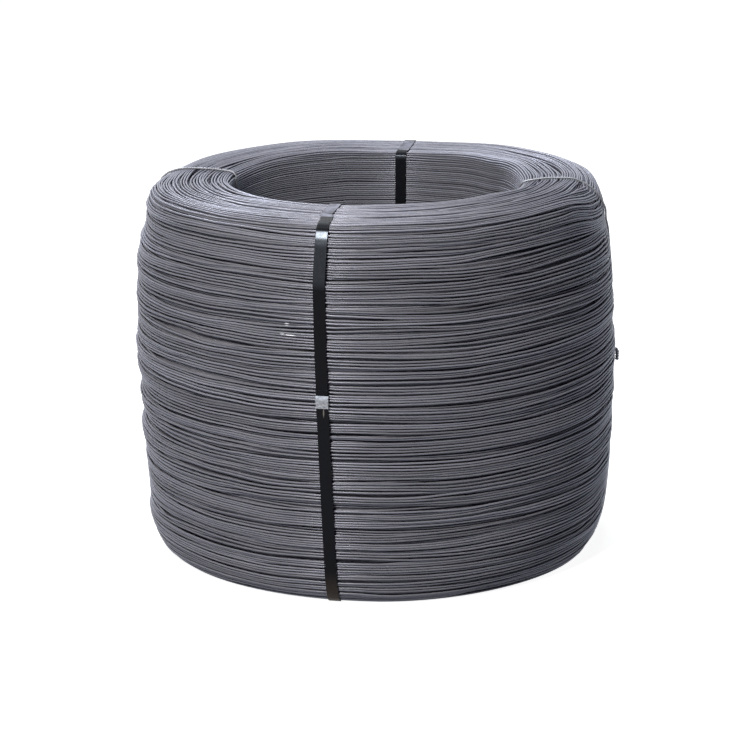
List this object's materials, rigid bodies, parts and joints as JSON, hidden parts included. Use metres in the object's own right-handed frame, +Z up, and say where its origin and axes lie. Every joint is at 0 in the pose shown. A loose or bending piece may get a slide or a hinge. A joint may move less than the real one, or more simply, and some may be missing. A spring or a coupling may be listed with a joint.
{
  "type": "coil of wire rod",
  "caption": "Barrel-shaped coil of steel wire rod on its end with an open eye, held by flat steel straps with crimped seals and twisted wire ties.",
  "frame": {"origin": "centre of the coil's underside, on the floor and on the coil's axis", "axes": "+Z up along the coil's axis, -Y towards the front strap's side"},
  "size_m": [1.3923, 1.3638, 1.0538],
  "materials": {
    "wire_rod": "dark grey drawn steel rod with a dull phosphate and lubricant film",
    "black_strap": "black painted and waxed steel strapping, semi-gloss",
    "galvanised_seal": "mottled galvanised sheet, crimped",
    "tie_wire": "bare light grey steel wire, twisted and cut"
  },
  "bodies": {
    "root": {"wire_coil": "wire_rod", "strap_front": "black_strap", "strap_front_seal": "galvanised_seal", "strap_back": "black_strap", "strap_back_seal": "galvanised_seal", "tie_left": "tie_wire", "tie_right": "tie_wire"}
  },
  "joints": []
}
